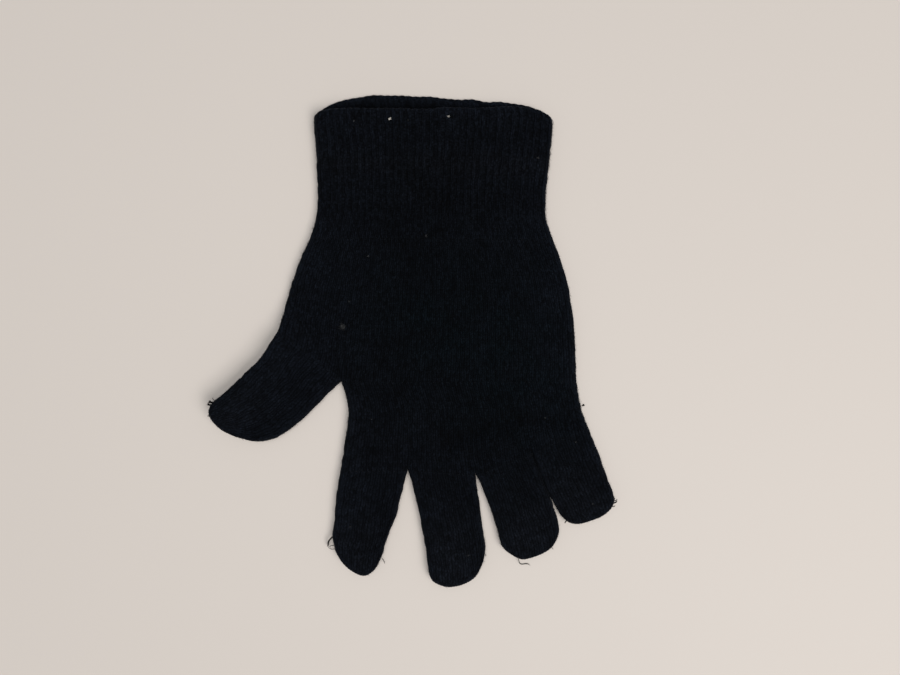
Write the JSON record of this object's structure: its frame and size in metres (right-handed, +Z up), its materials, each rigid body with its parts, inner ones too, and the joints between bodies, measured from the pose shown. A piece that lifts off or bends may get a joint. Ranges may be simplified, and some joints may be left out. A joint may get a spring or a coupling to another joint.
{
  "type": "seamless knitted stretch glove, laid flat",
  "caption": "Black seamless knitted stretch glove with a ribbed cuff, laid flat with its cuff mouth open and its thumb out to one side.",
  "frame": {"origin": "centre of the glove's bounding box in plan, on the surface that it lies on", "axes": "+Y from the fingers to the cuff, -X towards the thumb, +Z up from the surface through both layers"},
  "size_m": [0.1606, 0.196, 0.0093],
  "materials": {
    "rib_knit": "1x1 rib in black acrylic yarn, matt and fuzzy",
    "jersey_knit": "plain jersey in black acrylic yarn, matt, slightly blue, with lint specks",
    "finger_knit": "plain jersey in black acrylic yarn, slightly worn and fuzzy at the tips"
  },
  "bodies": {
    "root": {"cuff": "rib_knit", "hand_five": "jersey_knit", "hand_four": "jersey_knit", "thumb": "finger_knit", "index_finger": "finger_knit", "middle_finger": "finger_knit", "ring_finger": "finger_knit", "little_finger": "finger_knit"}
  },
  "joints": []
}
